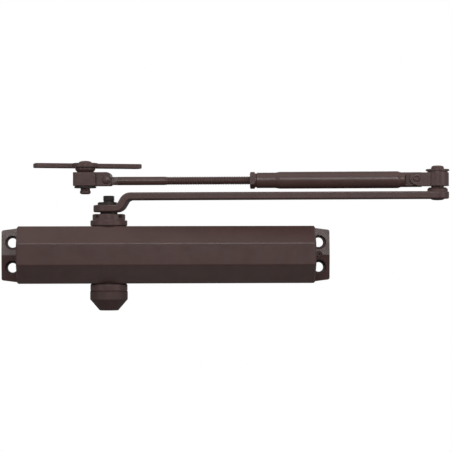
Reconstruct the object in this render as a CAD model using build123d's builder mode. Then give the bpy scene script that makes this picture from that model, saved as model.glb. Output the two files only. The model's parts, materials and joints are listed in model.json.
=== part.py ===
from build123d import *
from math import atan, cos, pi, radians, sin, sqrt, tan
import os

# A surface-mounted hydraulic door closer with a two-piece folding arm.
# Millimetres. The origin is the centre of the four body screw holes, on the back face.
# +X runs along the body to the end that takes the springs, +Z is up, and the back is at Y = 0.

# Body casting
HALF_LENGTH = 112.0  # without the ears
HALF_HEIGHT = 21.6
DEPTH = 52.5
FRONT_TOP = 8.7  # height of the front face's upper edge
FRONT_BOTTOM = -7.8
EDGE_RADIUS = 1.8
END_CHAMFER = 1.0
BORE_R = 16.5
PLUG_BORE_R = 18.0
PLUG_LENGTH = 12.0
PLUG_NOSE_X = 95.0  # the plug's inner end
END_SEAL_X = 97.5
END_SEAL_R = 1.02
AXIS_Y = -27.0  # the bore and the pinion share this depth

# Ears and body screw holes
EAR_TIP_X = 126.0
EAR_HEIGHT_ROOT = 21.2
EAR_HEIGHT_TIP = 19.1
EAR_RIDGE = 8.0
EAR_EDGE = 5.6
SCREW_SPACING_X = 235.5
SCREW_SPACING_Z = 19.05
SCREW_HOLE_R = 3.65
SCREW_HEAD_R = 5.5
SCREW_HEAD_DEPTH = 5.0

# Oil passages and valves
VALVE_R = 2.5
PASSAGE_R = 1.2
PASSAGE_PLUG_R = 1.6
SWEEP_X = 117.75
SWEEP_Z = 0.5
PASSAGE_Y = -4.3
PASSAGE_STEP = 2.0  # from the sweep valve's axis to each passage
LATCH_Y = -10.0
LATCH_Z = 16.0
SWEEP_LENGTH = 5.8
LATCH_LENGTH = 21.0
VALVE_NECK = 0.45  # where the ring's groove starts, as a share of the valve's length
VALVE_GROOVE = 1.1
SPRING_PORT_X = 88.5
CLOSING_PORT_X = -93.0
LATCH_PORT_X = -84.0

# Rack and pinion
PINION_X = -43.4
MODULE = 1.5
TEETH = 10
PRESSURE_ANGLE = radians(25)
PITCH_R = MODULE * TEETH / 2
PINION_ADDENDUM = 1.35
PINION_ROOT_R = 6.0
RACK_ADDENDUM = 1.2
RACK_DEDENDUM = 1.55
BACKLASH = 0.15
TOOTH_THICKNESS = (pi * MODULE - BACKLASH) / 2  # at the pitch line, on rack and pinion alike
RACK_PITCH_Y = AXIS_Y + PITCH_R
GEAR_HALF_FACE = 13.6

# Piston
PISTON_R = 16.45
PISTON_LEFT = -91.0
PISTON_RIGHT = -21.0
PISTON_GROOVE = (-87.0, -84.2)
PISTON_GROOVE_R = 14.6
WINDOW_LEFT = -76.9
WINDOW_RIGHT = -33.1
WINDOW_FRONT_Y = AXIS_Y - 9.2
RACK_ROOT_Y = RACK_PITCH_Y + RACK_DEDENDUM
RACK_HALF_FACE = 13.5
BALL_R = 3.0
BALL_BORE_R = 4.0
BALL_SEAT_R = 1.8
BALL_SEAT_THICKNESS = 4.1
BALL_LIFT = 1.1

# Springs
SPRING_SEAT_X = 93.0
OUTER_WIRE_R = 2.1
OUTER_COIL_R = 13.6
OUTER_TURNS = 10
INNER_WIRE_R = 1.3
INNER_COIL_R = 8.4
INNER_TURNS = 15

# Pinion stack, heights from the body's middle
NUT_BORE_R = 11.6
NUT_R = 14.0
NUT_GAP = 0.4  # filled by a seal ring
NUT_FLANGE_TOP = 26.25
NUT_TIER_R = 12.4
NUT_TOP = 30.9
NUT_BOTTOM = 16.7  # of the part that screws into the body, and of the bearing
NUT_SEAL_SHOULDER = 27.5
BEARING_R = 9.5
BEARING_TOP = 24.2
JOURNAL_R = 7.0
NECK_R = 6.6
PINION_COLLAR_R = 8.6
PINION_SHOULDER = 24.4
SHAFT_BOTTOM = -31.4
SQUARE = 9.0
SQUARE_BOTTOM = -37.0
COLLAR_BOTTOM = -27.2
CAP_R = 14.2
CAP_BORE_R = 11.05
CAP_CONE_TOP = -33.5
CAP_BOTTOM = -41.9

# Arm, whose eye sits on the pinion's square; it is turned a little forward of the body's line
ARM_TURN = -5.0
ARM_THICKNESS = 5.5
EYE_BOTTOM = 32.4
EYE_TOP = 37.8
EYE_R = 11.7
BAR_BOTTOM = 41.5
BAR_TOP = 47.0
ELBOW_U = 248.0
ELBOW_EYE_R = 8.6
WASHER_TOP = 39.9
WASHER_R = 8.5
WASHER_FLAT = 6.0  # from the pinion's axis to the washer's flat side
SCREW_TOP = 44.8
ARM_SCREW_R = 2.48
ARM_SCREW_LENGTH = 14.0  # below the eye's top

# Elbow and forearm: distances U run from the pinion's axis along the arm
ELBOW_KNUCKLE_BOTTOM = BAR_TOP + 4.1
ELBOW_KNUCKLE_TOP = BAR_TOP + 14.1
ELBOW_HUB_R = 7.7
ELBOW_CLIP_BOTTOM = BAR_TOP + 15.3
ELBOW_TILT_U = 232.2
ELBOW_TILT_Z = 57.1
FOREARM_Z = 55.95
ELBOW_BARREL_R = 8.5
ELBOW_CHEEK = 6.3  # half the width over the knuckle's two cheeks
TONGUE = 3.3  # half the thickness of the tube's flattened end
TONGUE_END = 4.3  # past the tilt pin
CHEEK_GAP = 0.1
CHEEK_ROUND_R = 5.2
RIVET_R = 2.4
RIVET_HEAD_R = 3.2
ELBOW_PIN_R = 4.85
TUBE_R = 6.4
TUBE_NECK_R = 5.85
ROD_R = 3.2
THREAD_R = 3.1
ROD_START = 6.8  # where its flat tongue turns round
THREAD_START = 42.9  # the rod is plain up to here
JAM_NUT_U = 107.1
JAM_NUT_LENGTH = 4.7  # with the turned face on its tube side
JAM_NUT_FACE = 1.0
JAM_NUT_FLAT = 5.55  # half the width across its flats
RUNNING = 0.05  # radial running clearance
CLIP_THICKNESS = 1.3

# Shoe
SHOE_U = -17.9
SHOE_TILT_U = -1.15
SHOE_TILT_Z = 56.5
SHOE_KNUCKLE_BOTTOM = 52.3
SHOE_KNUCKLE_TOP = 62.5
SHOE_BLOCK_LEFT = -8.7  # from the shoe pin's axis
SHOE_BLOCK_RIGHT = 8.6
SHOE_BLOCK_HALF = 8.8
SHOE_CHEEK_RIGHT = 20.15
SHOE_CHEEK = 7.3
SHOE_GROOVE = 0.9  # a groove that wide, and as deep, where the cheeks leave the block
ROD_TONGUE = 3.0
SHOE_TURN = 13.0  # of the plate, from the body's line
PLATE_BOTTOM = 66.25
PLATE_THICKNESS = 3.35
PLATE_LEFT = -37.8
PLATE_RIGHT = 45.0
PLATE_FRONT = 2.5
PLATE_BACK = 15.0
PLATE_LOBE_R = 9.8
PLATE_FILLET_R = 1.5
SHOE_HOLE_SPACING = 62.0
SHOE_HOLE_R = 2.75
SHOE_PIN_R = 4.3
SHOE_CLIP_TOP = 51.85
SHOE_CLIP_THICKNESS = 1.05

arm_plane = Plane(
    origin=(PINION_X, AXIS_Y, 0),
    x_dir=(cos(radians(ARM_TURN)), sin(radians(ARM_TURN)), 0),
    z_dir=(0, 0, 1),
)


def arm_side(u, z=0.0):
    """The upright plane along the arm: x runs out along the arm and y is up."""
    return Plane(
        origin=arm_plane.from_local_coords((u, 0, z)),
        x_dir=arm_plane.x_dir,
        z_dir=-arm_plane.y_dir,
    )


def arm_top(u, z):
    """A level plane at height z, centred at a distance u along the arm."""
    return Plane(
        origin=arm_plane.from_local_coords((u, 0, z)),
        x_dir=arm_plane.x_dir,
        z_dir=(0, 0, 1),
    )


def outline(plane, points):
    """A closed straight-sided face on a plane."""
    with BuildSketch(plane) as profile:
        with BuildLine():
            Polyline(*points, close=True)
        make_face()
    return profile.sketch


def turn_upright(plane, points, mode=Mode.ADD):
    """Turn an outline of (radius, height) points about the plane's y axis."""
    revolve(outline(plane, points), axis=Axis(plane.origin, plane.y_dir), mode=mode)


def turn_along(plane, points, mode=Mode.ADD):
    """Turn an outline of (distance, radius) points about the plane's x axis."""
    revolve(outline(plane, points), axis=Axis(plane.origin, plane.x_dir), mode=mode)


def finish(piece, name):
    """Label a finished piece and write its file."""
    piece.part.label = name
    export_step(piece.part, f"parts/{name}.step")


os.makedirs("parts", exist_ok=True)
pinion_plane = Plane(origin=(PINION_X, AXIS_Y, 0), x_dir=(1, 0, 0), z_dir=(0, -1, 0))
bore_plane = Plane(origin=(0, AXIS_Y, 0), x_dir=(1, 0, 0), z_dir=(0, -1, 0))

# ---------------------------------------------------------------- body casting
with BuildPart() as ear:
    with BuildSketch(Plane.YZ.offset(HALF_LENGTH - 2)):
        with BuildLine():
            Polyline(
                (0, -HALF_HEIGHT),
                (-EAR_EDGE, -HALF_HEIGHT),
                (-EAR_RIDGE, 0),
                (-EAR_EDGE, HALF_HEIGHT),
                (0, HALF_HEIGHT),
                close=True,
            )
        make_face()
    extrude(amount=EAR_TIP_X - HALF_LENGTH + 2)
    with BuildSketch(Plane.XZ) as ear_outline:
        with BuildLine():
            Polyline(
                (HALF_LENGTH - 2, -EAR_HEIGHT_ROOT),
                (EAR_TIP_X, -EAR_HEIGHT_TIP),
                (EAR_TIP_X, EAR_HEIGHT_TIP),
                (HALF_LENGTH - 2, EAR_HEIGHT_ROOT),
                close=True,
            )
        make_face()
        fillet(ear_outline.vertices().group_by(Axis.X)[-1], radius=1.6)
    extrude(amount=DEPTH, both=True, mode=Mode.INTERSECT)

with BuildPart() as closer_body:
    with BuildSketch(Plane.YZ.offset(-HALF_LENGTH)):
        with BuildLine():
            Polyline(
                (0, -HALF_HEIGHT),
                (-DEPTH + HALF_HEIGHT + FRONT_BOTTOM, -HALF_HEIGHT),
                (-DEPTH, FRONT_BOTTOM),
                (-DEPTH, FRONT_TOP),
                (-DEPTH + HALF_HEIGHT - FRONT_TOP, HALF_HEIGHT),
                (0, HALF_HEIGHT),
                close=True,
            )
        make_face()
    extrude(amount=2 * HALF_LENGTH)
    long_edges = closer_body.edges().filter_by(Axis.X).group_by(Axis.Y)
    fillet(long_edges[0] + long_edges[1] + long_edges[2], radius=EDGE_RADIUS)
    end_edges = closer_body.faces().filter_by(Axis.X).edges()
    chamfer(end_edges.filter_by(lambda edge: edge.center().Y < -1), length=END_CHAMFER)
    add(ear.part)
    add(mirror(ear.part, about=Plane.YZ, mode=Mode.PRIVATE))
    with Locations((PINION_X, AXIS_Y, 0)):
        Cylinder(NUT_BORE_R, 2 * HALF_HEIGHT, mode=Mode.SUBTRACT)
    with Locations(Plane(origin=(0, AXIS_Y, 0), z_dir=(1, 0, 0))):
        Cylinder(BORE_R, 2 * HALF_LENGTH, mode=Mode.SUBTRACT)
        with Locations((0, 0, HALF_LENGTH - PLUG_LENGTH / 2), (0, 0, PLUG_LENGTH / 2 - HALF_LENGTH)):
            Cylinder(PLUG_BORE_R, PLUG_LENGTH, mode=Mode.SUBTRACT)
    with Locations(Plane(origin=(0, -EAR_RIDGE, 0), x_dir=(1, 0, 0), z_dir=(0, -1, 0))):
        with GridLocations(SCREW_SPACING_X, SCREW_SPACING_Z, 2, 2):
            CounterBoreHole(SCREW_HOLE_R, SCREW_HEAD_R, SCREW_HEAD_DEPTH, depth=EAR_RIDGE)
        with Locations((SWEEP_X, SWEEP_Z)):
            Hole(VALVE_R, depth=EAR_RIDGE - 2.0)
    # Two passages from the sweep valve: the upper to the closing end, the lower to the spring end.
    for height, port_x in (
        (SWEEP_Z + PASSAGE_STEP, CLOSING_PORT_X),
        (SWEEP_Z - PASSAGE_STEP, SPRING_PORT_X),
    ):
        with Locations(Plane(origin=(EAR_TIP_X, PASSAGE_Y, height), z_dir=(1, 0, 0))):
            Hole(PASSAGE_R, depth=EAR_TIP_X - port_x + PASSAGE_R)
            Hole(PASSAGE_PLUG_R, depth=4.0)
        with Locations(Plane(origin=(port_x, PASSAGE_Y, height), z_dir=(0, 1, 0))):
            Hole(PASSAGE_R, depth=10.0)
    # The latch valve's bore and passage run in the thick upper back corner.
    with Locations(Plane(origin=(HALF_LENGTH, LATCH_Y, LATCH_Z), z_dir=(1, 0, 0))):
        Hole(VALVE_R, depth=22.0)
        Hole(PASSAGE_R, depth=HALF_LENGTH - LATCH_PORT_X + PASSAGE_R)
    for port_x in (LATCH_PORT_X, SPRING_PORT_X):
        to_bore = Vector(0, AXIS_Y - LATCH_Y, -LATCH_Z)
        with Locations(Plane(origin=(port_x, LATCH_Y, LATCH_Z), z_dir=-to_bore)):
            Hole(PASSAGE_R, depth=10.0)
finish(closer_body, "closer_body")

# ---------------------------------------------------------------- end plugs and their rings
plug_profile = [
    (-HALF_LENGTH, 0),
    (-HALF_LENGTH, PLUG_BORE_R - 0.8),
    (-HALF_LENGTH + 0.8, PLUG_BORE_R - 0.02),
    (-HALF_LENGTH + PLUG_LENGTH, PLUG_BORE_R - 0.02),
    (-HALF_LENGTH + PLUG_LENGTH, BORE_R - 0.05),
    (-END_SEAL_X - 1.3, BORE_R - 0.05),
    (-END_SEAL_X - 1.3, BORE_R - 2.2),
    (-END_SEAL_X + 1.3, BORE_R - 2.2),
    (-END_SEAL_X + 1.3, BORE_R - 0.05),
    (-PLUG_NOSE_X, BORE_R - 0.05),
    (-PLUG_NOSE_X, 0),
]
with BuildPart() as left_end_plug:
    turn_along(bore_plane, plug_profile)
    with BuildSketch(Plane(origin=(-HALF_LENGTH, AXIS_Y, 0), z_dir=(1, 0, 0))):
        RegularPolygon(radius=7.0, side_count=6, major_radius=False)
    extrude(amount=6.0, mode=Mode.SUBTRACT)
finish(left_end_plug, "left_end_plug")

with BuildPart() as right_end_plug:
    mirror(left_end_plug.part, about=Plane.YZ)
finish(right_end_plug, "right_end_plug")

for side, name in ((-1, "left_end_seal"), (1, "right_end_seal")):
    with BuildPart() as end_seal:
        with Locations(Plane(origin=(side * END_SEAL_X, AXIS_Y, 0), z_dir=(1, 0, 0))):
            Torus(BORE_R - END_SEAL_R - 0.08, END_SEAL_R)
    finish(end_seal, name)

# ---------------------------------------------------------------- passage plugs and valves
with BuildPart() as passage_plugs:
    for height in (SWEEP_Z + PASSAGE_STEP, SWEEP_Z - PASSAGE_STEP):
        with Locations(Plane(origin=(EAR_TIP_X - 2.0, PASSAGE_Y, height), z_dir=(1, 0, 0))):
            Cylinder(PASSAGE_PLUG_R, 4.0)
finish(passage_plugs, "passage_plugs")


def valve_screw(face_plane, length, slot_angle):
    """A slotted regulating screw whose head is flush with face_plane and whose needle is inside."""
    with BuildPart() as screw:
        screw_r = VALVE_R - RUNNING
        neck = length * VALVE_NECK
        points = [
            (0, 0),
            (screw_r - 0.3, 0),
            (screw_r, -0.3),
            (screw_r, -neck),
            (screw_r - 0.8, -neck),
            (screw_r - 0.8, -neck - VALVE_GROOVE),
            (screw_r, -neck - VALVE_GROOVE),
            (screw_r, -length * 0.85),
            (0.5, -length),
            (0, -length),
        ]
        side = Plane(origin=face_plane.origin, x_dir=face_plane.x_dir, z_dir=-face_plane.y_dir)
        turn_upright(side, points)
        slot_plane = face_plane.rotated((0, 0, slot_angle))
        slot = outline(slot_plane, [(-3, -0.5), (3, -0.5), (3, 0.5), (-3, 0.5)])
        extrude(slot, amount=-0.9, mode=Mode.SUBTRACT)
    return screw


def valve_seal(face_plane, length):
    """The ring in a regulating screw's groove, as a short rubber sleeve."""
    with BuildPart() as seal:
        side = Plane(origin=face_plane.origin, x_dir=face_plane.x_dir, z_dir=-face_plane.y_dir)
        inner = VALVE_R - RUNNING - 0.78
        outer = VALVE_R - 0.02
        top = -length * VALVE_NECK - 0.02
        bottom = -length * VALVE_NECK - VALVE_GROOVE + 0.03
        turn_upright(side, [(inner, top), (outer, top), (outer, bottom), (inner, bottom)])
    return seal


sweep_face = Plane(origin=(SWEEP_X, -EAR_RIDGE + 0.1, SWEEP_Z), x_dir=(1, 0, 0), z_dir=(0, -1, 0))
latch_face = Plane(origin=(HALF_LENGTH - 0.8, LATCH_Y, LATCH_Z), x_dir=(0, 1, 0), z_dir=(1, 0, 0))
for face, length, slot_angle, name in (
    (sweep_face, SWEEP_LENGTH, -45, "sweep_valve"),
    (latch_face, LATCH_LENGTH, 20, "latch_valve"),
):
    finish(valve_screw(face, length, slot_angle), name)
    finish(valve_seal(face, length), f"{name}_seal")

# ---------------------------------------------------------------- piston, rack and check valve
ball_x = WINDOW_LEFT - BALL_SEAT_THICKNESS - sqrt(BALL_R**2 - BALL_SEAT_R**2) - 0.05
groove_left, groove_right = PISTON_GROOVE
with BuildPart() as piston:
    turn_along(
        bore_plane,
        [
            (PISTON_LEFT, 0),
            (PISTON_LEFT, PISTON_R - 0.6),
            (PISTON_LEFT + 0.6, PISTON_R),
            (groove_left, PISTON_R),
            (groove_left, PISTON_GROOVE_R),
            (groove_right, PISTON_GROOVE_R),
            (groove_right, PISTON_R),
            (PISTON_RIGHT - 0.6, PISTON_R),
            (PISTON_RIGHT, PISTON_R - 0.6),
            (PISTON_RIGHT, 6.7),
            (PISTON_RIGHT + 6.0, 6.0),
            (PISTON_RIGHT + 6.0, 0),
        ],
    )
    with BuildSketch(Plane.XY):
        with Locations(
            ((WINDOW_LEFT + WINDOW_RIGHT) / 2, (WINDOW_FRONT_Y + RACK_ROOT_Y) / 2),
        ):
            Rectangle(WINDOW_RIGHT - WINDOW_LEFT, RACK_ROOT_Y - WINDOW_FRONT_Y)
    extrude(amount=PISTON_R + 1, both=True, mode=Mode.SUBTRACT)
    # Rack teeth on the window's back wall; one is centred on the pinion's axis.
    with BuildSketch(Plane.XY):
        half_root = TOOTH_THICKNESS / 2 + RACK_DEDENDUM * tan(PRESSURE_ANGLE)
        half_tip = TOOTH_THICKNESS / 2 - RACK_ADDENDUM * tan(PRESSURE_ANGLE)
        with Locations([(PINION_X + k * pi * MODULE, RACK_PITCH_Y) for k in range(-6, 2)]):
            Polygon(
                (-half_root, RACK_DEDENDUM),
                (-half_tip, -RACK_ADDENDUM),
                (half_tip, -RACK_ADDENDUM),
                (half_root, RACK_DEDENDUM),
                align=None,
            )
    extrude(amount=RACK_HALF_FACE, both=True)
    # The check valve's stepped bore through the left head.
    with Locations(Plane(origin=(PISTON_LEFT, AXIS_Y, 0), z_dir=(-1, 0, 0))):
        Hole(BALL_BORE_R, depth=WINDOW_LEFT - BALL_SEAT_THICKNESS - PISTON_LEFT)
        Hole(BALL_SEAT_R, depth=WINDOW_LEFT - PISTON_LEFT)
finish(piston, "piston")

with BuildPart() as piston_seal:
    turn_along(
        bore_plane,
        [
            (groove_left + 0.1, PISTON_GROOVE_R + 0.02),
            (groove_left + 0.1, BORE_R - 0.02),
            (groove_right - 0.1, BORE_R - 0.02),
            (groove_right - 0.1, PISTON_GROOVE_R + 0.02),
        ],
    )
finish(piston_seal, "piston_seal")

with BuildPart() as check_ball:
    with Locations((ball_x, AXIS_Y, 0)):
        Sphere(BALL_R)
finish(check_ball, "check_ball")

retainer_face = ball_x - BALL_R - BALL_LIFT - 0.1
with BuildPart() as check_valve_retainer:
    outer = BALL_BORE_R - 0.02
    turn_along(
        bore_plane,
        [(PISTON_LEFT, 1.6), (PISTON_LEFT, outer), (retainer_face, outer), (retainer_face, 1.6)],
    )
    with BuildSketch(Plane(origin=(PISTON_LEFT, AXIS_Y, 0), z_dir=(1, 0, 0))):
        Rectangle(5.6, 1.2)
        Rectangle(1.2, 5.6)
    extrude(amount=retainer_face - PISTON_LEFT, mode=Mode.SUBTRACT)
finish(check_valve_retainer, "check_valve_retainer")


def coil(wire_r, coil_r, turns, left_hand):
    """A compression spring along the bore, between the piston and the spring seat."""
    first = PISTON_RIGHT + wire_r + 0.3
    last = SPRING_SEAT_X - wire_r - 0.3
    base = Plane(origin=(first, AXIS_Y, 0), x_dir=(0, 0, 1), z_dir=(1, 0, 0))
    path = base * Helix((last - first) / turns, last - first, coil_r, lefthand=left_hand)
    with BuildPart() as spring:
        with BuildSketch(Plane(origin=path @ 0, z_dir=path % 0)):
            Circle(wire_r)
        sweep(path=path, is_frenet=True)
    return spring


finish(coil(OUTER_WIRE_R, OUTER_COIL_R, OUTER_TURNS, False), "outer_spring")
finish(coil(INNER_WIRE_R, INNER_COIL_R, INNER_TURNS, True), "inner_spring")

with BuildPart() as spring_seat:
    turn_along(
        bore_plane,
        [
            (PLUG_NOSE_X, 3.0),
            (PLUG_NOSE_X, 16.2),
            (SPRING_SEAT_X, 16.2),
            (SPRING_SEAT_X, 6.6),
            (SPRING_SEAT_X - 4.0, 6.0),
            (SPRING_SEAT_X - 4.0, 3.0),
        ],
    )
finish(spring_seat, "spring_seat")

# ---------------------------------------------------------------- pinion shaft
base_r = PITCH_R * cos(PRESSURE_ANGLE)
tip_r = PITCH_R + PINION_ADDENDUM


def involute(radius):
    """The involute angle at a radius on the pinion's flank."""
    roll = sqrt(max((radius / base_r) ** 2 - 1, 0))
    return roll - atan(roll)


def flank(radius, side):
    """A point of one pinion tooth's flank; the tooth is centred on the x axis."""
    half_angle = TOOTH_THICKNESS / (2 * PITCH_R) + involute(PITCH_R) - involute(radius)
    return (radius * cos(half_angle), side * radius * sin(half_angle))


flank_radii = [base_r + (tip_r - base_r) * step / 4 for step in range(5)]
root_half_angle = TOOTH_THICKNESS / (2 * PITCH_R) + involute(PITCH_R)
inside_r = PINION_ROOT_R - 0.5
with BuildSketch() as tooth:
    with BuildLine():
        lower = Spline(*[flank(radius, -1) for radius in flank_radii])
        upper = Spline(*[flank(radius, 1) for radius in flank_radii])
        Line(lower @ 1, upper @ 1)
        Line(lower @ 0, (inside_r * cos(root_half_angle), -inside_r * sin(root_half_angle)))
        Line(upper @ 0, (inside_r * cos(root_half_angle), inside_r * sin(root_half_angle)))
        Line(
            (inside_r * cos(root_half_angle), -inside_r * sin(root_half_angle)),
            (inside_r * cos(root_half_angle), inside_r * sin(root_half_angle)),
        )
    make_face()

with BuildPart() as pinion_shaft:
    with BuildSketch(Plane(origin=(PINION_X, AXIS_Y, -GEAR_HALF_FACE), z_dir=(0, 0, 1))):
        Circle(PINION_ROOT_R)
        with PolarLocations(0, TEETH):
            add(tooth.sketch)
    extrude(amount=2 * GEAR_HALF_FACE)
    for side, shaft_end in ((1, EYE_BOTTOM), (-1, SHAFT_BOTTOM)):
        turn_upright(
            pinion_plane,
            [
                (0, shaft_end),
                (NECK_R, shaft_end),
                (NECK_R, side * PINION_SHOULDER),
                (JOURNAL_R, side * PINION_SHOULDER),
                (JOURNAL_R, side * (NUT_BOTTOM - 0.2)),
                (PINION_COLLAR_R, side * (NUT_BOTTOM - 0.2)),
                (PINION_COLLAR_R, side * GEAR_HALF_FACE),
                (0, side * GEAR_HALF_FACE),
            ],
        )
    with BuildSketch(arm_top(0, SQUARE_BOTTOM)):
        Rectangle(SQUARE - 0.1, SQUARE - 0.1)
    extrude(amount=EYE_TOP - 0.5 - SQUARE_BOTTOM)
    with Locations(Plane(origin=(PINION_X, AXIS_Y, EYE_TOP - 0.5), z_dir=(0, 0, 1))):
        Hole(ARM_SCREW_R + 0.02, depth=ARM_SCREW_LENGTH + 1.5)
finish(pinion_shaft, "pinion_shaft")

# ---------------------------------------------------------------- pinion nuts, bearings, seals, cap
with BuildPart() as top_pinion_nut:
    turn_upright(
        pinion_plane,
        [
            (BEARING_R, NUT_BOTTOM),
            (NUT_BORE_R - 0.02, NUT_BOTTOM),
            (NUT_BORE_R - 0.02, HALF_HEIGHT + NUT_GAP),
            (NUT_R - 0.5, HALF_HEIGHT + NUT_GAP),
            (NUT_R, HALF_HEIGHT + NUT_GAP + 0.5),
            (NUT_R, NUT_FLANGE_TOP - 0.5),
            (NUT_R - 0.5, NUT_FLANGE_TOP),
            (NUT_TIER_R, NUT_FLANGE_TOP),
            (NUT_TIER_R, NUT_TOP - 0.6),
            (NUT_TIER_R - 0.6, NUT_TOP),
            (NECK_R + 0.6, NUT_TOP),
            (NECK_R + 0.6, NUT_SEAL_SHOULDER),
            (BEARING_R, NUT_SEAL_SHOULDER),
        ],
    )
    with BuildSketch(Plane.XY.offset(NUT_TOP)):
        with Locations((PINION_X, AXIS_Y)):
            with PolarLocations(8.8 + 3.0, 4, start_angle=45):
                Rectangle(6.0, 3.5)
    extrude(amount=-2.9, mode=Mode.SUBTRACT)
finish(top_pinion_nut, "top_pinion_nut")

with BuildPart() as bottom_pinion_nut:
    turn_upright(
        pinion_plane,
        [
            (BEARING_R, -NUT_BOTTOM),
            (NUT_BORE_R - 0.02, -NUT_BOTTOM),
            (NUT_BORE_R - 0.02, -HALF_HEIGHT - NUT_GAP),
            (NUT_R - 0.5, -HALF_HEIGHT - NUT_GAP),
            (NUT_R, -HALF_HEIGHT - NUT_GAP - 0.5),
            (NUT_R, COLLAR_BOTTOM + 0.3),
            (NUT_R - 0.3, COLLAR_BOTTOM),
            (CAP_BORE_R - 0.05, COLLAR_BOTTOM),
            (CAP_BORE_R - 0.05, COLLAR_BOTTOM - 3.2),
            (NECK_R + 0.6, COLLAR_BOTTOM - 3.2),
            (NECK_R + 0.6, -NUT_SEAL_SHOULDER),
            (BEARING_R, -NUT_SEAL_SHOULDER),
        ],
    )
finish(bottom_pinion_nut, "bottom_pinion_nut")

for side, place in ((1, "top"), (-1, "bottom")):
    with BuildPart() as bearing:
        inner = JOURNAL_R + 0.04
        outer = BEARING_R - 0.01
        turn_upright(
            pinion_plane,
            [
                (inner, side * NUT_BOTTOM),
                (outer, side * NUT_BOTTOM),
                (outer, side * BEARING_TOP),
                (inner, side * BEARING_TOP),
            ],
        )
    finish(bearing, f"{place}_bearing")
    with BuildPart() as pinion_seal:
        inner = NECK_R + 0.03
        outer = BEARING_R - 0.01
        turn_upright(
            pinion_plane,
            [
                (inner, side * (PINION_SHOULDER + 0.2)),
                (outer, side * (PINION_SHOULDER + 0.2)),
                (outer, side * (NUT_SEAL_SHOULDER - 0.1)),
                (inner + 1.2, side * (NUT_SEAL_SHOULDER - 0.1)),
                (inner, side * (NUT_SEAL_SHOULDER - 0.9)),
            ],
        )
    finish(pinion_seal, f"{place}_pinion_seal")
    with BuildPart() as nut_gasket:
        low = side * (HALF_HEIGHT + 0.02)
        high = side * (HALF_HEIGHT + NUT_GAP - 0.02)
        turn_upright(pinion_plane, [(NUT_BORE_R, low), (13.4, low), (13.4, high), (NUT_BORE_R, high)])
    finish(nut_gasket, f"{place}_nut_gasket")

with BuildPart() as pinion_cap:
    turn_upright(
        pinion_plane,
        [
            (CAP_BORE_R, COLLAR_BOTTOM - 0.05),
            (CAP_R - 0.4, COLLAR_BOTTOM - 0.05),
            (CAP_R, COLLAR_BOTTOM - 0.45),
            (CAP_R, CAP_CONE_TOP),
            (7.6, CAP_BOTTOM + 0.7),
            (6.8, CAP_BOTTOM),
            (0, CAP_BOTTOM),
            (0, CAP_BOTTOM + 3.3),
            (7.6, CAP_BOTTOM + 3.3),
            (CAP_BORE_R, CAP_CONE_TOP - 1.1),
        ],
    )
finish(pinion_cap, "pinion_cap")

# ---------------------------------------------------------------- main arm
crank = {  # the four bends of the arm's crank and their radii
    (10.3, EYE_BOTTOM): 8.0,
    (15.6, BAR_BOTTOM): 3.5,
    (12.1, BAR_TOP): 9.0,
    (6.9, EYE_TOP): 1.0,
}
with BuildPart() as main_arm:
    with BuildSketch(arm_side(0)) as arm_profile:
        with BuildLine():
            lower_bend, upper_bend, top_bend, eye_bend = crank
            Polyline(
                (-EYE_R - 2, EYE_BOTTOM),
                lower_bend,
                upper_bend,
                (ELBOW_U + 12, BAR_BOTTOM),
                (ELBOW_U + 12, BAR_TOP),
                top_bend,
                eye_bend,
                (-EYE_R - 2, EYE_TOP),
                close=True,
            )
        make_face()
        for point, radius in crank.items():
            fillet(arm_profile.vertices().sort_by_distance((*point, 0))[0], radius=radius)
    extrude(amount=EYE_R + 1, both=True)
    with BuildSketch(arm_top(0, EYE_BOTTOM)) as arm_outline:
        Circle(EYE_R)
        with Locations((ELBOW_U, 0)):
            Circle(ELBOW_EYE_R)
        make_hull()
    extrude(amount=BAR_TOP - EYE_BOTTOM, mode=Mode.INTERSECT)
    fillet(main_arm.edges(), radius=1.0)
    with BuildSketch(arm_top(0, EYE_BOTTOM)):
        Rectangle(SQUARE, SQUARE)
    extrude(amount=EYE_TOP - EYE_BOTTOM, mode=Mode.SUBTRACT)
    with Locations(arm_top(ELBOW_U, BAR_TOP)):
        Hole(4.02, depth=ARM_THICKNESS)
finish(main_arm, "main_arm")

with BuildPart() as arm_washer:
    turn_upright(
        arm_side(0),
        [
            (2.6, EYE_TOP),
            (WASHER_R, EYE_TOP),
            (WASHER_R, WASHER_TOP - 0.6),
            (WASHER_R - 0.7, WASHER_TOP),
            (2.6, WASHER_TOP),
        ],
    )
    # One side is flat, against the crank, so the washer can't turn.
    with BuildSketch(arm_top(WASHER_FLAT + WASHER_R / 2, EYE_TOP)):
        Rectangle(WASHER_R, 2 * WASHER_R)
    extrude(amount=WASHER_TOP - EYE_TOP, mode=Mode.SUBTRACT)
finish(arm_washer, "arm_washer")

with BuildPart() as arm_screw:
    with BuildSketch(Plane(origin=(PINION_X, AXIS_Y, WASHER_TOP + 1.2), z_dir=(0, 0, 1))):
        RegularPolygon(radius=4.0, side_count=6, major_radius=False, rotation=25)
    extrude(amount=SCREW_TOP - WASHER_TOP - 1.2)
    # The hexagon's upper corners are turned off.
    waste_top = SCREW_TOP + 1
    waste = [(8, waste_top), (8, SCREW_TOP - 2.1), (3.6, SCREW_TOP), (0, SCREW_TOP), (0, waste_top)]
    turn_upright(arm_side(0), waste, mode=Mode.SUBTRACT)
    turn_upright(
        arm_side(0),
        [
            (0, EYE_TOP - ARM_SCREW_LENGTH),
            (ARM_SCREW_R, EYE_TOP - ARM_SCREW_LENGTH),
            (ARM_SCREW_R, WASHER_TOP),
            (4.1, WASHER_TOP),
            (4.1, WASHER_TOP + 0.7),
            (3.5, WASHER_TOP + 1.3),
            (0, WASHER_TOP + 1.3),
        ],
    )
finish(arm_screw, "arm_screw")

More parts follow.
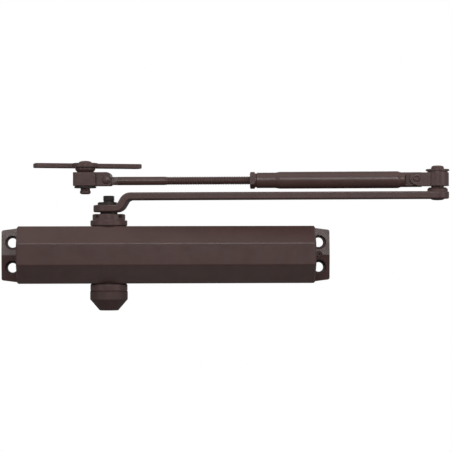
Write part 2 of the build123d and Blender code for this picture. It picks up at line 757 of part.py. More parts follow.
# ---------------------------------------------------------------- elbow
with BuildPart() as elbow_pin:
    turn_upright(
        arm_side(ELBOW_U),
        [
            (0, BAR_BOTTOM - 1.2),
            (3.4, BAR_BOTTOM - 1.0),
            (4.8, BAR_BOTTOM - 0.5),
            (5.2, BAR_BOTTOM - 0.02),
            (4.0, BAR_BOTTOM - 0.02),
            (4.0, BAR_TOP + 0.02),
            (7.7, BAR_TOP + 0.02),
            (7.7, BAR_TOP + 1.7),
            (6.5, BAR_TOP + 2.9),
            (ELBOW_PIN_R, BAR_TOP + 2.9),
            (ELBOW_PIN_R, ELBOW_CLIP_BOTTOM),
            (4.0, ELBOW_CLIP_BOTTOM),
            (4.0, ELBOW_CLIP_BOTTOM + 1.4),
            (ELBOW_PIN_R, ELBOW_CLIP_BOTTOM + 1.4),
            (ELBOW_PIN_R, BAR_TOP + 17.9),
            (4.2, BAR_TOP + 19.0),
            (2.9, BAR_TOP + 19.4),
            (2.3, BAR_TOP + 18.9),
            (0, BAR_TOP + 18.9),
        ],
    )
finish(elbow_pin, "elbow_pin")


def snap_ring(u, low, high, hole_r, outer_r):
    """An E-shaped retaining ring, open on the side away from the forearm."""
    with BuildPart() as ring:
        with BuildSketch(arm_top(u, low)):
            Circle(outer_r)
            Circle(hole_r, mode=Mode.SUBTRACT)
            with Locations((0, outer_r)):
                Rectangle(2 * hole_r * 0.9, 2 * outer_r, mode=Mode.SUBTRACT)
            with PolarLocations((hole_r + outer_r) / 2, 3, start_angle=-180, angular_range=180):
                Circle(1.1, mode=Mode.SUBTRACT)
        extrude(amount=high - low)
    return ring


clip_low = ELBOW_CLIP_BOTTOM + 0.05
finish(snap_ring(ELBOW_U, clip_low, clip_low + CLIP_THICKNESS, 4.03, 8.8), "elbow_clip")

with BuildPart() as elbow_knuckle:
    with BuildSketch(arm_top(ELBOW_U, ELBOW_KNUCKLE_BOTTOM)):
        Circle(ELBOW_BARREL_R)
        with Locations((-12, 0)):
            Rectangle(24, 2 * ELBOW_CHEEK)
    extrude(amount=ELBOW_KNUCKLE_TOP - ELBOW_KNUCKLE_BOTTOM)
    with BuildSketch(arm_side(0)):
        with Locations((ELBOW_TILT_U, ELBOW_TILT_Z)):
            Circle(CHEEK_ROUND_R)
        with Locations((ELBOW_TILT_U + 20, (ELBOW_KNUCKLE_TOP + ELBOW_KNUCKLE_BOTTOM) / 2)):
            Rectangle(40, 20)
    extrude(amount=ELBOW_BARREL_R + 1, both=True, mode=Mode.INTERSECT)
    with BuildSketch(arm_top(ELBOW_U - 17.6, ELBOW_KNUCKLE_BOTTOM)):
        Rectangle(20, 2 * (TONGUE + CHEEK_GAP))
    extrude(amount=20, mode=Mode.SUBTRACT)
    with BuildSketch(arm_top(ELBOW_U, ELBOW_KNUCKLE_TOP)):
        Circle(ELBOW_HUB_R)
    extrude(amount=ELBOW_CLIP_BOTTOM - 0.1 - ELBOW_KNUCKLE_TOP)
    with Locations(arm_top(ELBOW_U, ELBOW_CLIP_BOTTOM)):
        Hole(ELBOW_PIN_R + RUNNING, depth=20)
    with Locations(arm_side(ELBOW_TILT_U, ELBOW_TILT_Z).offset(10)):
        Hole(RIVET_R + 0.02, depth=20)
finish(elbow_knuckle, "elbow_knuckle")


def rivet(u, height, half_grip, head):
    """A rivet across the arm's line. Its head's outline is (radius, distance past the grip)."""
    half = [(RIVET_R, 0), *((radius, half_grip + out) for radius, out in head)]
    with BuildPart() as pin:
        plane = Plane(arm_side(u, height).origin, x_dir=arm_plane.x_dir, z_dir=(0, 0, 1))
        for side in (-1, 1):
            turn_upright(plane, [(0, 0)] + [(radius, side * out) for radius, out in half])
    return pin


dimpled_head = [
    (RIVET_R, 0.02),
    (RIVET_HEAD_R - 0.3, 0.02),
    (RIVET_HEAD_R - 0.6, 0.5),
    (1.9, 0.6),
    (0.9, 0.05),
    (0, 0.05),
]
finish(rivet(ELBOW_TILT_U, ELBOW_TILT_Z, ELBOW_CHEEK, dimpled_head), "elbow_tilt_pin")

# ---------------------------------------------------------------- forearm
with BuildPart() as forearm_tube:
    turn_along(
        arm_side(0, FOREARM_Z),
        [
            (111.9, THREAD_R + 0.08),
            (111.9, TUBE_NECK_R - 0.5),
            (112.4, TUBE_NECK_R),
            (126.2, TUBE_NECK_R),
            (129.4, TUBE_R),
            (218.2, TUBE_R),
            (220.6, 5.6),
            (ELBOW_TILT_U + TONGUE_END - 0.6, 5.6),
            (ELBOW_TILT_U + TONGUE_END, 5.0),
            (ELBOW_TILT_U + TONGUE_END, 0),
            (214.0, 0),
            (210.0, 4.8),
            (130.5, 4.8),
            (126.5, THREAD_R + 0.08),
        ],
    )
    # The elbow end is squeezed flat into a tongue.
    for side in (-1, 1):
        waste = [(222.6, side * 6.6), (224.4, side * TONGUE), (245.0, side * TONGUE), (245.0, side * 8.0)]
        extrude(outline(arm_top(0, FOREARM_Z - 10), waste), amount=20, mode=Mode.SUBTRACT)
    with Locations(arm_side(ELBOW_TILT_U, ELBOW_TILT_Z).offset(10)):
        Hole(RIVET_R + RUNNING, depth=20)
finish(forearm_tube, "forearm_tube")

nut_end = JAM_NUT_U + JAM_NUT_LENGTH
with BuildPart() as jam_nut:
    nut_plane = Plane(
        origin=arm_side(JAM_NUT_U, FOREARM_Z).origin,
        x_dir=(0, 0, 1),
        z_dir=arm_plane.x_dir,
    )
    with BuildSketch(nut_plane):
        RegularPolygon(radius=JAM_NUT_FLAT, side_count=6, major_radius=False)
    extrude(amount=JAM_NUT_LENGTH)
    # Both ends have their corners turned off, and the tube's end has a round face.
    hexagon_end = nut_end - JAM_NUT_FACE
    near_waste = [(JAM_NUT_U - 1, 5.3), (JAM_NUT_U, 5.7), (JAM_NUT_U + 0.8, 7.1), (JAM_NUT_U - 1, 9.0)]
    far_waste = [(hexagon_end, 5.3), (nut_end + 1, 5.3), (nut_end + 1, 9.0), (hexagon_end - 0.8, 7.1)]
    for waste in (near_waste, [*far_waste, (hexagon_end, 5.7)]):
        turn_along(arm_side(0, FOREARM_Z), waste, mode=Mode.SUBTRACT)
    nut_bore = THREAD_R + 0.06
    bore = [(JAM_NUT_U - 1, 0), (JAM_NUT_U - 1, nut_bore), (nut_end + 1, nut_bore), (nut_end + 1, 0)]
    turn_along(arm_side(0, FOREARM_Z), bore, mode=Mode.SUBTRACT)
finish(jam_nut, "jam_nut")

with BuildPart() as forearm_rod:
    turn_along(
        arm_side(0, FOREARM_Z),
        [
            (ROD_START, 0),
            (ROD_START, ROD_R),
            (THREAD_START, ROD_R),
            (THREAD_START, THREAD_R),
            (149.2, THREAD_R),
            (150.0, 2.4),
            (150.0, 0),
        ],
    )
    with BuildSketch(arm_side(0)):
        with Locations((SHOE_TILT_U, SHOE_TILT_Z)):
            Circle(4.3)
        with Locations((ROD_START / 2, FOREARM_Z)):
            Rectangle(ROD_START + 1, 2 * ROD_R - 0.4)
    extrude(amount=ROD_TONGUE, both=True)
    with Locations(arm_side(SHOE_TILT_U, SHOE_TILT_Z).offset(10)):
        Hole(RIVET_R + RUNNING, depth=20)
finish(forearm_rod, "forearm_rod")

# ---------------------------------------------------------------- shoe
with BuildPart() as shoe_knuckle:
    with BuildSketch(arm_top(SHOE_U, SHOE_KNUCKLE_BOTTOM)):
        with Locations(((SHOE_BLOCK_LEFT + SHOE_BLOCK_RIGHT) / 2, 0)):
            Rectangle(SHOE_BLOCK_RIGHT - SHOE_BLOCK_LEFT, 2 * SHOE_BLOCK_HALF)
        with Locations((SHOE_CHEEK_RIGHT / 2, 0)):
            Rectangle(SHOE_CHEEK_RIGHT, 2 * SHOE_CHEEK)
        groove_u = SHOE_BLOCK_RIGHT + SHOE_GROOVE / 2
        with Locations((groove_u, SHOE_CHEEK), (groove_u, -SHOE_CHEEK)):
            Rectangle(SHOE_GROOVE, 2 * SHOE_GROOVE, mode=Mode.SUBTRACT)
    extrude(amount=SHOE_KNUCKLE_TOP - SHOE_KNUCKLE_BOTTOM)
    fillet(shoe_knuckle.edges().filter_by(Axis.Z).group_by(Axis.X)[0], radius=3.0)
    cheek_end = shoe_knuckle.edges().filter_by(
        lambda edge: arm_plane.to_local_coords(edge.center()).X > 2 and edge.length > 14
    )
    low_corner, high_corner = cheek_end.sort_by(Axis.Z)
    fillet(high_corner, radius=3.4)
    fillet(low_corner, radius=1.3)
    with BuildSketch(arm_top(SHOE_U + SHOE_BLOCK_RIGHT + 10, SHOE_KNUCKLE_BOTTOM)):
        Rectangle(20, 2 * (ROD_TONGUE + CHEEK_GAP))
    extrude(amount=20, mode=Mode.SUBTRACT)
    with Locations(arm_top(SHOE_U, SHOE_KNUCKLE_TOP)):
        Hole(SHOE_PIN_R + RUNNING, depth=20)
    with Locations(arm_side(SHOE_TILT_U, SHOE_TILT_Z).offset(10)):
        Hole(RIVET_R + 0.02, depth=20)
finish(shoe_knuckle, "shoe_knuckle")

domed_head = [
    (RIVET_R, 0.02),
    (RIVET_HEAD_R, 0.02),
    (RIVET_HEAD_R - 0.3, 0.6),
    (RIVET_HEAD_R - 1.0, 1.1),
    (1.1, 1.4),
    (0, 1.5),
]
finish(rivet(SHOE_TILT_U, SHOE_TILT_Z, SHOE_CHEEK, domed_head), "shoe_tilt_pin")

shoe_plane = Plane(
    origin=arm_top(SHOE_U, PLATE_BOTTOM).origin,
    x_dir=(cos(radians(SHOE_TURN)), sin(radians(SHOE_TURN)), 0),
    z_dir=(0, 0, 1),
)
plate_top = PLATE_BOTTOM + PLATE_THICKNESS
with BuildPart() as shoe_plate:
    with BuildSketch(shoe_plane) as plate_outline:
        with BuildLine():
            # Each arm's front edge runs into the lobe around the pin by a hollow fillet.
            hollow = Vector(0, PLATE_FRONT - PLATE_FILLET_R)
            reach = sqrt((PLATE_LOBE_R + PLATE_FILLET_R) ** 2 - hollow.Y**2)
            touch_share = PLATE_LOBE_R / (PLATE_LOBE_R + PLATE_FILLET_R)
            ends = {}
            for side, plate_end in ((-1, PLATE_LEFT), (1, PLATE_RIGHT)):
                centre = Vector(side * reach, hollow.Y)
                touch = centre * touch_share
                straight_end = Vector(side * reach, PLATE_FRONT)
                middle = centre + ((touch + straight_end) / 2 - centre).normalized() * PLATE_FILLET_R
                ThreePointArc(touch, middle, straight_end)
                Line(straight_end, (plate_end, PLATE_FRONT))
                Line((plate_end, PLATE_FRONT), (plate_end, PLATE_BACK))
                ends[side] = touch
            Line((PLATE_LEFT, PLATE_BACK), (PLATE_RIGHT, PLATE_BACK))
            ThreePointArc(ends[-1], (0, -PLATE_LOBE_R), ends[1])
        make_face()
    extrude(amount=PLATE_THICKNESS)
    corners = shoe_plate.edges().filter_by(Axis.Z).filter_by(
        lambda edge: abs(shoe_plane.to_local_coords(edge.center()).X) > 30
    )
    fillet(corners, radius=3.0)
    chamfer(shoe_plate.faces().filter_by(Axis.Z).edges(), length=0.4)
    with Locations(shoe_plane.offset(PLATE_THICKNESS)):
        Hole(4.0, depth=PLATE_THICKNESS)
    with Locations(Plane(shoe_plane.origin, x_dir=shoe_plane.x_dir, z_dir=(0, 0, -1))):
        hole_centre = (PLATE_LEFT + PLATE_RIGHT) / 2
        with Locations((hole_centre, -(PLATE_FRONT + PLATE_BACK) / 2)):
            with GridLocations(SHOE_HOLE_SPACING, 1, 2, 1):
                CounterSinkHole(SHOE_HOLE_R, 5.0, depth=PLATE_THICKNESS, counter_sink_angle=90)
finish(shoe_plate, "shoe_plate")

with BuildPart() as shoe_pin:
    turn_upright(
        arm_side(SHOE_U),
        [
            (0, 71.5),
            (3.2, 71.2),
            (4.6, 70.6),
            (5.1, plate_top + 0.02),
            (3.98, plate_top + 0.02),
            (3.98, PLATE_BOTTOM - 0.02),
            (7.6, PLATE_BOTTOM - 0.02),
            (7.6, 64.6),
            (6.4, 63.1),
            (5.6, 62.62),
            (SHOE_PIN_R, 62.62),
            (SHOE_PIN_R, SHOE_CLIP_TOP),
            (3.4, SHOE_CLIP_TOP),
            (3.4, SHOE_CLIP_TOP - SHOE_CLIP_THICKNESS - 0.1),
            (3.65, SHOE_CLIP_TOP - SHOE_CLIP_THICKNESS - 0.1),
            (3.65, 48.9),
            (4.1, 48.2),
            (4.1, 47.0),
            (3.2, 46.1),
            (0, 46.1),
        ],
    )
finish(shoe_pin, "shoe_pin")

clip_high = SHOE_CLIP_TOP - 0.05
finish(snap_ring(SHOE_U, clip_high - SHOE_CLIP_THICKNESS, clip_high, 3.43, 8.3), "shoe_clip")
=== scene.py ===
import json
from math import cos, pi, radians, sin

import bmesh
import bpy
from mathutils import Matrix, Vector

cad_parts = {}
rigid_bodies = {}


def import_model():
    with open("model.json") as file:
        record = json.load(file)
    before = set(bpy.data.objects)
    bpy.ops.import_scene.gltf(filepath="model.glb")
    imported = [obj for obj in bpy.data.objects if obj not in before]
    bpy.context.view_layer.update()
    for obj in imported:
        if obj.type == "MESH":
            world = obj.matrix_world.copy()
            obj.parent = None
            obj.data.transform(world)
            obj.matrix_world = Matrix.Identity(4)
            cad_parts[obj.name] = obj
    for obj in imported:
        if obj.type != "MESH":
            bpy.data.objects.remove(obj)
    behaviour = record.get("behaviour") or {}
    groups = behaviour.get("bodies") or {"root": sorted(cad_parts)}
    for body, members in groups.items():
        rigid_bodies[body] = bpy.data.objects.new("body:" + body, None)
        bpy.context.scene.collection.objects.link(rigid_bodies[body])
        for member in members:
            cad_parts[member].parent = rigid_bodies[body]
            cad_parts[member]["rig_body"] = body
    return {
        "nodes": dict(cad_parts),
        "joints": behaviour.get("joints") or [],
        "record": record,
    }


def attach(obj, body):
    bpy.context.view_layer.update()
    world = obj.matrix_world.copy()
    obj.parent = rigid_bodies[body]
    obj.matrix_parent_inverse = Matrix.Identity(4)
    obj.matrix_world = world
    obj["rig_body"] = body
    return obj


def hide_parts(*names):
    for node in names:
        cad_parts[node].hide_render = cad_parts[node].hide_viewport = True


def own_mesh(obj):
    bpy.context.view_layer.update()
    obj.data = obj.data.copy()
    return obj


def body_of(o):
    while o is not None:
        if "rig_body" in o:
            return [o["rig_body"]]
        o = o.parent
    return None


# A surface-mounted door closer in satin dark bronze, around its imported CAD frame.
# Metres, in the frame's own axes: +X along the body, +Z up, the front faces -Y.

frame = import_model()
nodes = frame["nodes"]
joints = {joint["name"]: joint for joint in frame["joints"]}
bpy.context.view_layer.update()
MM = 0.001


# ---------------------------------------------------------------- camera, lights and surroundings
# The camera stands in front, level with the body, and looks slightly up and to the right.
CAMERA_PLACE = (-0.012, -1.5, -0.0078)
CAMERA_AIM = (0.0464, 0.0, 0.0223)
CAMERA_LENS = 154.7
CAMERA_ROLL = radians(0.16)

# Softboxes: (name, azimuth, elevation, distance, width, height, power, colour).
# Azimuth 0 is in front of the closer and 90 is to its right; they all point at the same place.
LIGHTS_AIM = Vector((0.04, -0.03, 0.01))
SOFTBOXES = (
    ("front", 0, 21, 1.7, 1.0, 0.46, 8.4, (1.0, 0.99, 0.98)),
    ("high", 0, 68, 1.4, 1.8, 0.7, 2.4, (1.0, 0.96, 0.88)),
    ("left", -52, 10, 1.5, 0.9, 0.6, 1.5, (1.0, 1.0, 1.0)),
    ("right", 52, 10, 1.5, 0.9, 0.6, 2.2, (1.0, 1.0, 1.0)),
    ("back", 180, 14, 1.7, 1.2, 0.8, 4.0, (1.0, 1.0, 1.0)),
)
# Light from the surroundings: a little everywhere, and more from above and the sides.
SURROUND = {"base": 0.012, "front": 0.03, "behind": 0.04, "above": 0.38, "right": 0.26, "left": 0.22}


def add_camera():
    camera = bpy.data.objects.new("camera", bpy.data.cameras.new("camera"))
    camera.location = CAMERA_PLACE
    forward = Vector(CAMERA_AIM) - Vector(CAMERA_PLACE)
    turned = forward.to_track_quat("-Z", "Y").to_matrix() @ Matrix.Rotation(-CAMERA_ROLL, 3, "Z")
    camera.rotation_euler = turned.to_euler()
    camera.data.lens = CAMERA_LENS
    camera.data.clip_start = 0.01
    bpy.context.scene.collection.objects.link(camera)
    bpy.context.scene.camera = camera


def add_softbox(name, azimuth, elevation, distance, width, height, power, colour):
    light = bpy.data.lights.new(name, "AREA")
    light.shape = "RECTANGLE"
    light.size, light.size_y = width, height
    light.energy = power
    light.color = colour
    box = bpy.data.objects.new(name, light)
    around, up = radians(azimuth), radians(elevation)
    away = Vector((sin(around) * cos(up), -cos(around) * cos(up), sin(up)))
    box.location = LIGHTS_AIM + away * distance
    box.rotation_euler = away.to_track_quat("Z", "Y").to_euler()
    bpy.context.scene.collection.objects.link(box)


def add_surroundings():
    """White behind the closer for the camera, and soft uneven light from all round for the surfaces."""
    world = bpy.data.worlds.new("studio")
    bpy.context.scene.world = world
    world.use_nodes = True
    tree = world.node_tree
    tree.nodes.clear()
    add, link = tree.nodes.new, tree.links.new
    direction = add("ShaderNodeTexCoord")
    axes = add("ShaderNodeSeparateXYZ")
    link(direction.outputs["Generated"], axes.inputs[0])
    total = None
    for axis, sign, place in (
        ("Y", -1, "front"),
        ("Y", 1, "behind"),
        ("Z", 1, "above"),
        ("X", 1, "right"),
        ("X", -1, "left"),
    ):
        turned = add("ShaderNodeMath")
        turned.operation = "MULTIPLY"
        turned.inputs[1].default_value = sign
        link(axes.outputs[axis], turned.inputs[0])
        clip = add("ShaderNodeMath")
        clip.operation = "MAXIMUM"
        clip.inputs[1].default_value = 0.0
        link(turned.outputs[0], clip.inputs[0])
        part = add("ShaderNodeMath")
        part.operation = "MULTIPLY_ADD"
        part.inputs[1].default_value = SURROUND[place]
        part.inputs[2].default_value = SURROUND["base"]
        link(clip.outputs[0], part.inputs[0])
        if total is not None:
            link(total.outputs[0], part.inputs[2])
        total = part
    lighting = add("ShaderNodeBackground")
    link(total.outputs[0], lighting.inputs["Strength"])
    lighting.inputs["Color"].default_value = (1, 1, 1, 1)
    white = add("ShaderNodeBackground")
    white.inputs["Color"].default_value = (1, 1, 1, 1)
    white.inputs["Strength"].default_value = 1.0
    seen = add("ShaderNodeLightPath")
    mix = add("ShaderNodeMixShader")
    link(seen.outputs["Is Camera Ray"], mix.inputs["Fac"])
    link(lighting.outputs[0], mix.inputs[1])
    link(white.outputs[0], mix.inputs[2])
    output = add("ShaderNodeOutputWorld")
    link(mix.outputs[0], output.inputs["Surface"])


add_camera()
for softbox in SOFTBOXES:
    add_softbox(*softbox)
add_surroundings()
bpy.context.scene.view_settings.view_transform = "Standard"


# ---------------------------------------------------------------- materials
class Finish:
    """One procedural material: a Principled shader and the texture nodes that feed it."""

    NOISE_LOW, NOISE_HIGH = 0.3, 0.7  # most of a noise texture's values lie between these

    def __init__(self, name, **settings):
        self.material = bpy.data.materials.new(name)
        self.material.use_nodes = True
        self.tree = self.material.node_tree
        self.shader = self.tree.nodes["Principled BSDF"]
        for socket, value in settings.items():
            self.shader.inputs[socket.replace("_", " ")].default_value = value
        self.place = self.tree.nodes.new("ShaderNodeTexCoord").outputs["Object"]

    def noise(self, size, detail=3.0, stretch=(1, 1, 1)):
        """Noise with features of about that size in metres, longer along an axis where stretch is more."""
        scaled = self.tree.nodes.new("ShaderNodeMapping")
        scaled.inputs["Scale"].default_value = [1 / (size * s) for s in stretch]
        self.tree.links.new(self.place, scaled.inputs["Vector"])
        texture = self.tree.nodes.new("ShaderNodeTexNoise")
        texture.inputs["Scale"].default_value = 1.0
        texture.inputs["Detail"].default_value = detail
        self.tree.links.new(scaled.outputs[0], texture.inputs["Vector"])
        return texture.outputs["Fac"]

    def blend_colours(self, factor, low, high):
        """Colour that runs from low to high over the middle of the noise's range."""
        ramp = self.tree.nodes.new("ShaderNodeValToRGB")
        ramp.color_ramp.elements[0].position = self.NOISE_LOW
        ramp.color_ramp.elements[1].position = self.NOISE_HIGH
        ramp.color_ramp.elements[0].color = (*low, 1)
        ramp.color_ramp.elements[1].color = (*high, 1)
        self.tree.links.new(factor, ramp.inputs[0])
        self.tree.links.new(ramp.outputs["Color"], self.shader.inputs["Base Color"])

    def blend_values(self, factor, low, high):
        """Roughness that runs from low to high over the middle of the noise's range."""
        spread = self.tree.nodes.new("ShaderNodeMapRange")
        spread.inputs["From Min"].default_value = self.NOISE_LOW
        spread.inputs["From Max"].default_value = self.NOISE_HIGH
        spread.inputs["To Min"].default_value = low
        spread.inputs["To Max"].default_value = high
        self.tree.links.new(factor, spread.inputs["Value"])
        self.tree.links.new(spread.outputs["Result"], self.shader.inputs["Roughness"])

    def bumps(self, *layers):
        """Relief from (noise, height in metres) layers, one on the other."""
        below = None
        for factor, height in layers:
            bump = self.tree.nodes.new("ShaderNodeBump")
            bump.inputs["Strength"].default_value = 1.0
            bump.inputs["Distance"].default_value = height
            self.tree.links.new(factor, bump.inputs["Height"])
            if below is not None:
                self.tree.links.new(below.outputs[0], bump.inputs["Normal"])
            below = bump
        self.tree.links.new(below.outputs[0], self.shader.inputs["Normal"])


def shade(colour, amount):
    """A colour made lighter or darker."""
    return tuple(channel * amount for channel in colour)


BRONZE = (0.098, 0.054, 0.049)


def bronze_paint(name, colour, gloss, grain, grain_height):
    """Satin dark bronze paint: slightly cloudy, with a fine orange-peel skin over the metal's own grain."""
    paint = Finish(name, Specular_IOR_Level=0.5)
    clouds = paint.noise(14 * MM, detail=4)
    paint.blend_colours(clouds, shade(colour, 0.93), shade(colour, 1.07))
    paint.blend_values(paint.noise(5 * MM), gloss - 0.04, gloss + 0.05)
    paint.bumps(
        (paint.noise(grain, detail=4), grain_height),
        (paint.noise(0.35 * MM, detail=2), 0.004 * MM),
    )
    return paint.material


def worked_metal(name, colour, roughness, stretch, scratch_height=0.002 * MM, metallic=1.0):
    """Bare metal with drawn-out tool marks."""
    metal = Finish(name, Metallic=metallic)
    marks = metal.noise(0.25 * MM, detail=5, stretch=stretch)
    metal.blend_colours(metal.noise(9 * MM), shade(colour, 0.85), colour)
    metal.blend_values(marks, roughness - 0.08, roughness + 0.10)
    metal.bumps((marks, scratch_height))
    return metal.material


def oxide_steel(name):
    """Steel with a dark, slightly oily oxide skin."""
    steel = Finish(name, Metallic=0.3, Specular_IOR_Level=0.5)
    steel.blend_colours(steel.noise(2.5 * MM, detail=5), (0.022, 0.018, 0.017), (0.050, 0.041, 0.038))
    steel.blend_values(steel.noise(1.2 * MM), 0.34, 0.50)
    steel.bumps((steel.noise(0.4 * MM, detail=4), 0.006 * MM))
    return steel.material


def seal_rubber(name):
    rubber = Finish(name, Specular_IOR_Level=0.35)
    rubber.blend_colours(rubber.noise(3 * MM), (0.012, 0.012, 0.013), (0.028, 0.027, 0.027))
    rubber.blend_values(rubber.noise(1 * MM), 0.62, 0.78)
    rubber.bumps((rubber.noise(0.3 * MM), 0.01 * MM))
    return rubber.material


def cap_plastic(name):
    """Moulded plastic in the body's colour, duller than the paint."""
    plastic = Finish(name, Specular_IOR_Level=0.45)
    plastic.blend_colours(plastic.noise(8 * MM), shade(BRONZE, 0.80), shade(BRONZE, 0.90))
    plastic.blend_values(plastic.noise(2 * MM), 0.42, 0.52)
    plastic.bumps((plastic.noise(0.5 * MM, detail=2), 0.006 * MM))
    return plastic.material


def floor_paper(name):
    paper = Finish(name, Roughness=0.9)
    paper.blend_colours(paper.noise(0.12), (0.80, 0.80, 0.80), (0.84, 0.84, 0.84))
    return paper.material


ALONG_X = (40, 1, 1)
finishes = {
    "cast_body": bronze_paint("cast_body", BRONZE, 0.33, 1.6 * MM, 0.018 * MM),
    "plug_metal": bronze_paint("plug_metal", shade(BRONZE, 0.95), 0.31, 0.8 * MM, 0.006 * MM),
    "arm_metal": bronze_paint("arm_metal", shade(BRONZE, 1.05), 0.34, 0.7 * MM, 0.016 * MM),
    "rod_metal": bronze_paint("rod_metal", BRONZE, 0.32, 0.7 * MM, 0.002 * MM),
    "dark_fastener": oxide_steel("dark_fastener"),
    "bright_steel": worked_metal("bright_steel", (0.56, 0.56, 0.57), 0.28, ALONG_X),
    "spring_steel": worked_metal("spring_steel", (0.20, 0.20, 0.22), 0.36, (6, 1, 1)),
    "bearing_bronze": worked_metal("bearing_bronze", (0.50, 0.33, 0.16), 0.45, (1, 1, 1)),
    "seal_rubber": seal_rubber("seal_rubber"),
    "cap_plastic": cap_plastic("cap_plastic"),
}

node_slots = {part["node"]: part["material_slot"] for part in frame["record"]["subparts"]}


def dress(piece, slot_name):
    """Gives a piece the finish of a material slot."""
    piece.data.materials.clear()
    piece.data.materials.append(finishes[slot_name])


for name, node in nodes.items():
    dress(node, node_slots[name])


# ---------------------------------------------------------------- pieces in more detail than the CAD
PINION_AXIS = Vector(joints["pinion_turn"]["pos_m"])
ALONG_ARM = Vector(joints["jam_nut_turn"]["axis"])
FOREARM_HEIGHT = joints["jam_nut_turn"]["pos_m"][2]
UP = Vector((0, 0, 1))


def mesh_object(name, points, faces):
    mesh = bpy.data.meshes.new(name)
    mesh.from_pydata(points, [], faces)
    mesh.validate()
    mesh.shade_smooth()
    piece = bpy.data.objects.new(name, mesh)
    bpy.context.scene.collection.objects.link(piece)
    return piece


def stand_for(piece, name):
    """The piece takes a CAD node's place: its body, its finish and its view."""
    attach(piece, body_of(nodes[name])[0])
    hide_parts(name)
    dress(piece, node_slots[name])


def joined_shape(name):
    """A CAD node's surface with its split vertices joined and its flat faces whole."""
    shape = bmesh.new()
    shape.from_mesh(nodes[name].data)
    shape.transform(nodes[name].matrix_world)
    bmesh.ops.remove_doubles(shape, verts=shape.verts, dist=0.002 * MM)
    bmesh.ops.dissolve_limit(shape, angle_limit=radians(0.4), verts=shape.verts, edges=shape.edges)
    return shape


def plain_lists(shape):
    """A shape's points and faces, without the normals that came with it."""
    shape.verts.index_update()
    points = [tuple(vert.co) for vert in shape.verts]
    faces = [[vert.index for vert in face.verts] for face in shape.faces]
    shape.free()
    return points, faces


def even_normals(piece):
    """Applies normals that follow the larger faces, so that flats stay flat between eased edges."""
    weighted = piece.modifiers.new("normals", "WEIGHTED_NORMAL")
    weighted.keep_sharp = True
    weighted.weight = 90
    evaluated = piece.evaluated_get(bpy.context.evaluated_depsgraph_get())
    mesh = bpy.data.meshes.new_from_object(evaluated)
    piece.modifiers.clear()
    piece.data = mesh
    mesh.name = piece.name


def eased(name, width):
    """Replaces a CAD node by a copy of it with its sharp edges rounded off."""
    shape = joined_shape(name)
    sharp = [edge for edge in shape.edges if edge.is_manifold and edge.calc_face_angle() > radians(28)]
    bmesh.ops.bevel(
        shape,
        geom=sharp,
        offset=width,
        segments=2,
        profile=0.5,
        affect="EDGES",
        clamp_overlap=True,
    )
    piece = mesh_object(name + "_eased", *plain_lists(shape))
    even_normals(piece)
    stand_for(piece, name)


def tube_faces(rings, around):
    """Quads between rings of points, with an end face at each end."""
    faces = [list(reversed(range(around)))]
    for ring in range(rings - 1):
        first = ring * around
        for k in range(around):
            after = (k + 1) % around
            faces.append([first + k, first + after, first + around + after, first + around + k])
    faces.append([(rings - 1) * around + k for k in range(around)])
    return faces


THREAD_FROM, THREAD_TO = 42.9 * MM, 150.0 * MM  # along the arm from the pinion's axis
THREAD_PITCH = 1.27 * MM
THREAD_CREST, THREAD_ROOT = 3.14 * MM, 2.70 * MM
THREAD_FADE = 1.5 * THREAD_PITCH  # length over which the groove gets to its full depth
GROOVE_FLAT, FLANK = 0.12, 0.74  # shares of the way from the groove's middle to the crest's


def thread_radius(turn, from_end):
    """Radius where the surface is that far round one thread's profile, fading out near the ends."""
    slope = abs((turn % 1.0) - 0.5) * 2  # 0 in the groove, 1 at the crest
    profile = min(1.0, max(0.0, (slope - GROOVE_FLAT) / FLANK))
    depth = (THREAD_CREST - THREAD_ROOT) * min(1.0, from_end / THREAD_FADE)
    return THREAD_CREST - depth * (1 - profile)


def threaded_rod():
    """The forearm rod: its plain shoe end from the CAD, then a rolled right-hand thread."""
    shape = joined_shape("forearm_rod")
    cut = PINION_AXIS + ALONG_ARM * (THREAD_FROM - 0.02 * MM)
    everything = shape.verts[:] + shape.edges[:] + shape.faces[:]
    bmesh.ops.bisect_plane(
        shape, geom=everything, dist=1e-7, plane_co=cut, plane_no=ALONG_ARM, clear_outer=True
    )
    rim = [edge for edge in shape.edges if edge.is_boundary]
    bmesh.ops.edgeloop_fill(shape, edges=rim)
    points, faces = plain_lists(shape)
    around, per_pitch = 32, 8
    rings = int((THREAD_TO - THREAD_FROM) / THREAD_PITCH * per_pitch) + 1
    start = len(points)
    sideways = UP.cross(ALONG_ARM)
    for ring in range(rings):
        u = THREAD_FROM + (THREAD_TO - THREAD_FROM) * ring / (rings - 1)
        for k in range(around):
            angle = 2 * pi * k / around
            turn = (u - THREAD_FROM) / THREAD_PITCH - k / around
            radius = thread_radius(turn, min(u - THREAD_FROM, THREAD_TO - u))
            middle = PINION_AXIS + ALONG_ARM * u + UP * FOREARM_HEIGHT
            points.append(tuple(middle + (sideways * cos(angle) + UP * sin(angle)) * radius))
    faces += [[start + k for k in face] for face in tube_faces(rings, around)]
    rod = mesh_object("threaded_rod", points, faces)
    rod.data.set_sharp_from_angle(angle=radians(35))
    stand_for(rod, "forearm_rod")


SPRING_FROM = -0.021  # the piston's shoulder
SPRING_TO = joints["piston_slide"]["deforming_nodes"][0]["fixed_end_x_m"]  # the spring seat
END_TURNS, OPENING_TURNS = 0.9, 0.4  # closed turns at each end, and the stretch in which they open


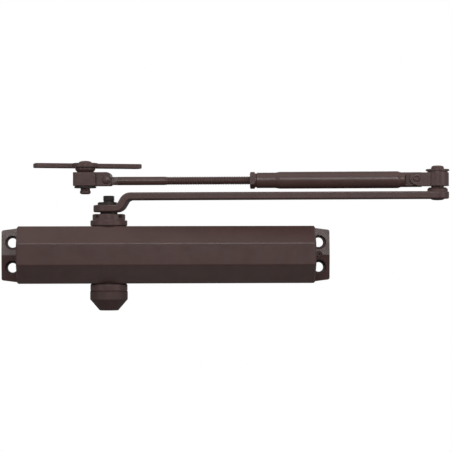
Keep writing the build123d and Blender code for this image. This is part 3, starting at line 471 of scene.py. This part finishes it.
def coil_spring(name, wire, radius, turns, hand):
    """A compression spring with closed, ground ends, of wire of that radius, from the piston's shoulder to
    the spring seat.
    """
    around, per_turn = 16, 48
    closed_pitch = 2.04 * wire  # the turns nearly touch
    ground_off = 0.45 * wire  # from the end turn's middle to the ground face
    steps = int(turns * per_turn)
    spread = []
    for step in range(steps + 1):
        turn = step / per_turn
        from_end = min(turn, turns - turn)
        spread.append(min(1.0, max(0.0, (from_end - END_TURNS) / OPENING_TURNS)))
    length = SPRING_TO - SPRING_FROM - 2 * ground_off
    extra = (length - closed_pitch * turns) / sum(spread)
    points = []
    x = SPRING_FROM + ground_off
    for step in range(steps + 1):
        angle = hand * 2 * pi * step / per_turn
        outward = Vector((0, cos(angle), sin(angle)))
        for k in range(around):
            section = 2 * pi * k / around
            point = PINION_AXIS + outward * (radius + wire * cos(section))
            along = min(SPRING_TO, max(SPRING_FROM, x + wire * sin(section)))
            points.append((along, point.y, point.z))
        x += closed_pitch / per_turn + extra * spread[step]
    spring = mesh_object(name + "_coils", points, tube_faces(steps + 1, around))
    stand_for(spring, name)
    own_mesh(spring)


for name in ("elbow_knuckle", "shoe_knuckle", "jam_nut"):
    eased(name, 0.35 * MM)
for name in ("top_pinion_nut", "bottom_pinion_nut", "arm_washer"):
    eased(name, 0.4 * MM)
threaded_rod()
coil_spring("outer_spring", 2.1 * MM, 13.6 * MM, 10, 1)
coil_spring("inner_spring", 1.3 * MM, 8.4 * MM, 15, -1)


# ---------------------------------------------------------------- floor
FLOOR_PLACE = (0.04, 0.0, -1.9)
FLOOR_RADIUS = 0.42


def add_floor():
    """A pale round sheet, far enough down to throw little light back up."""
    mesh = bpy.data.meshes.new("floor")
    shape = bmesh.new()
    bmesh.ops.create_circle(shape, cap_ends=True, segments=96, radius=FLOOR_RADIUS)
    shape.to_mesh(mesh)
    shape.free()
    floor = bpy.data.objects.new("floor", mesh)
    floor.location = FLOOR_PLACE
    floor.data.materials.append(floor_paper("floor_paper"))
    bpy.context.scene.collection.objects.link(floor)


add_floor()
